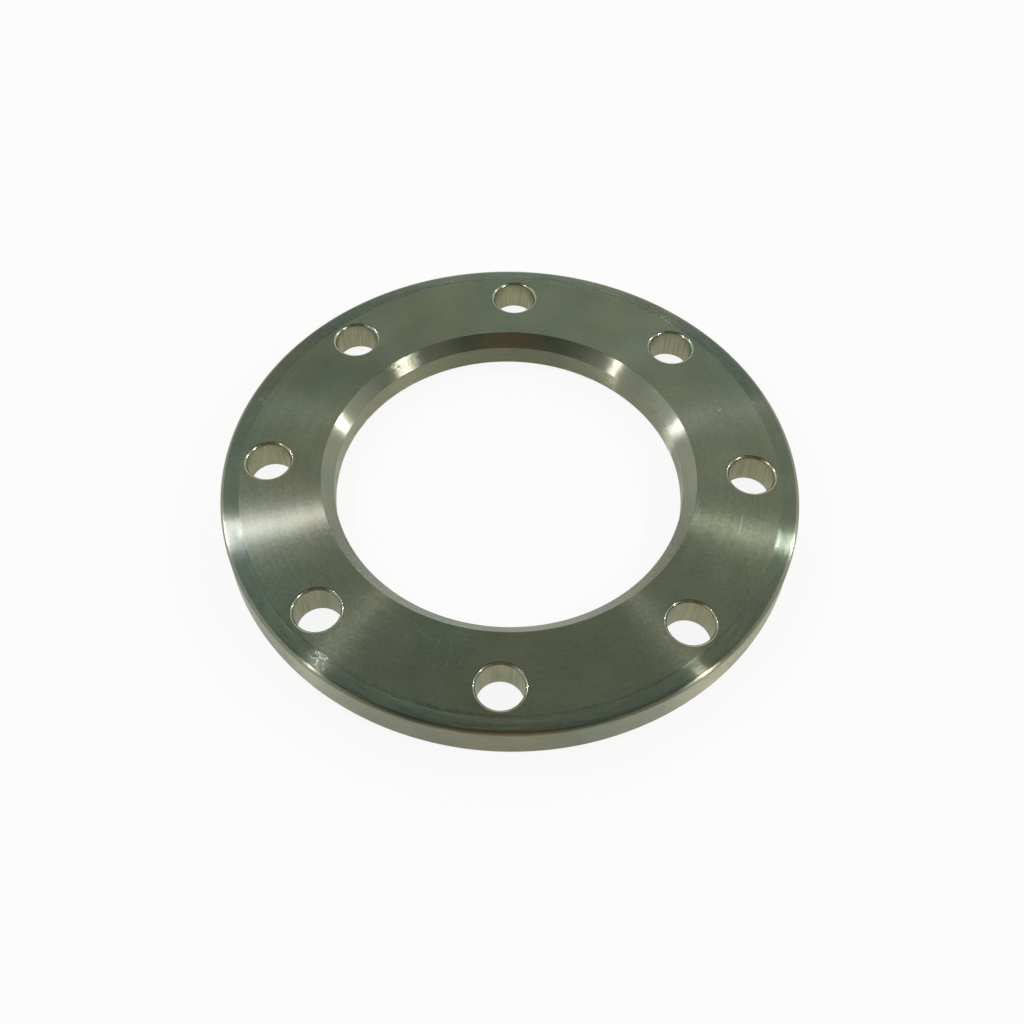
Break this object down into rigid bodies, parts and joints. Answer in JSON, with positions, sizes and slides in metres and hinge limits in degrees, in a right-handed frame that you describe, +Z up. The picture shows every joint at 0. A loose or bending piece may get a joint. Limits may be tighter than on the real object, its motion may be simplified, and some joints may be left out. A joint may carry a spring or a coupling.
{
  "type": "pipe flange",
  "caption": "Flat round pipe flange with a wide chamfered bore, a circle of bolt holes and a turned band round the rim.",
  "frame": {"origin": "centre of the back face, which the flange lies on", "axes": "+Z up along the bore, from the back face to the front face with the chamfered bore; one bolt hole is centred on +X"},
  "size_m": [0.285, 0.285, 0.018],
  "materials": {
    "turned_steel": "fine turned, with concentric tool marks"
  },
  "bodies": {
    "root": {"flange_ring": "turned_steel"}
  },
  "joints": []
}
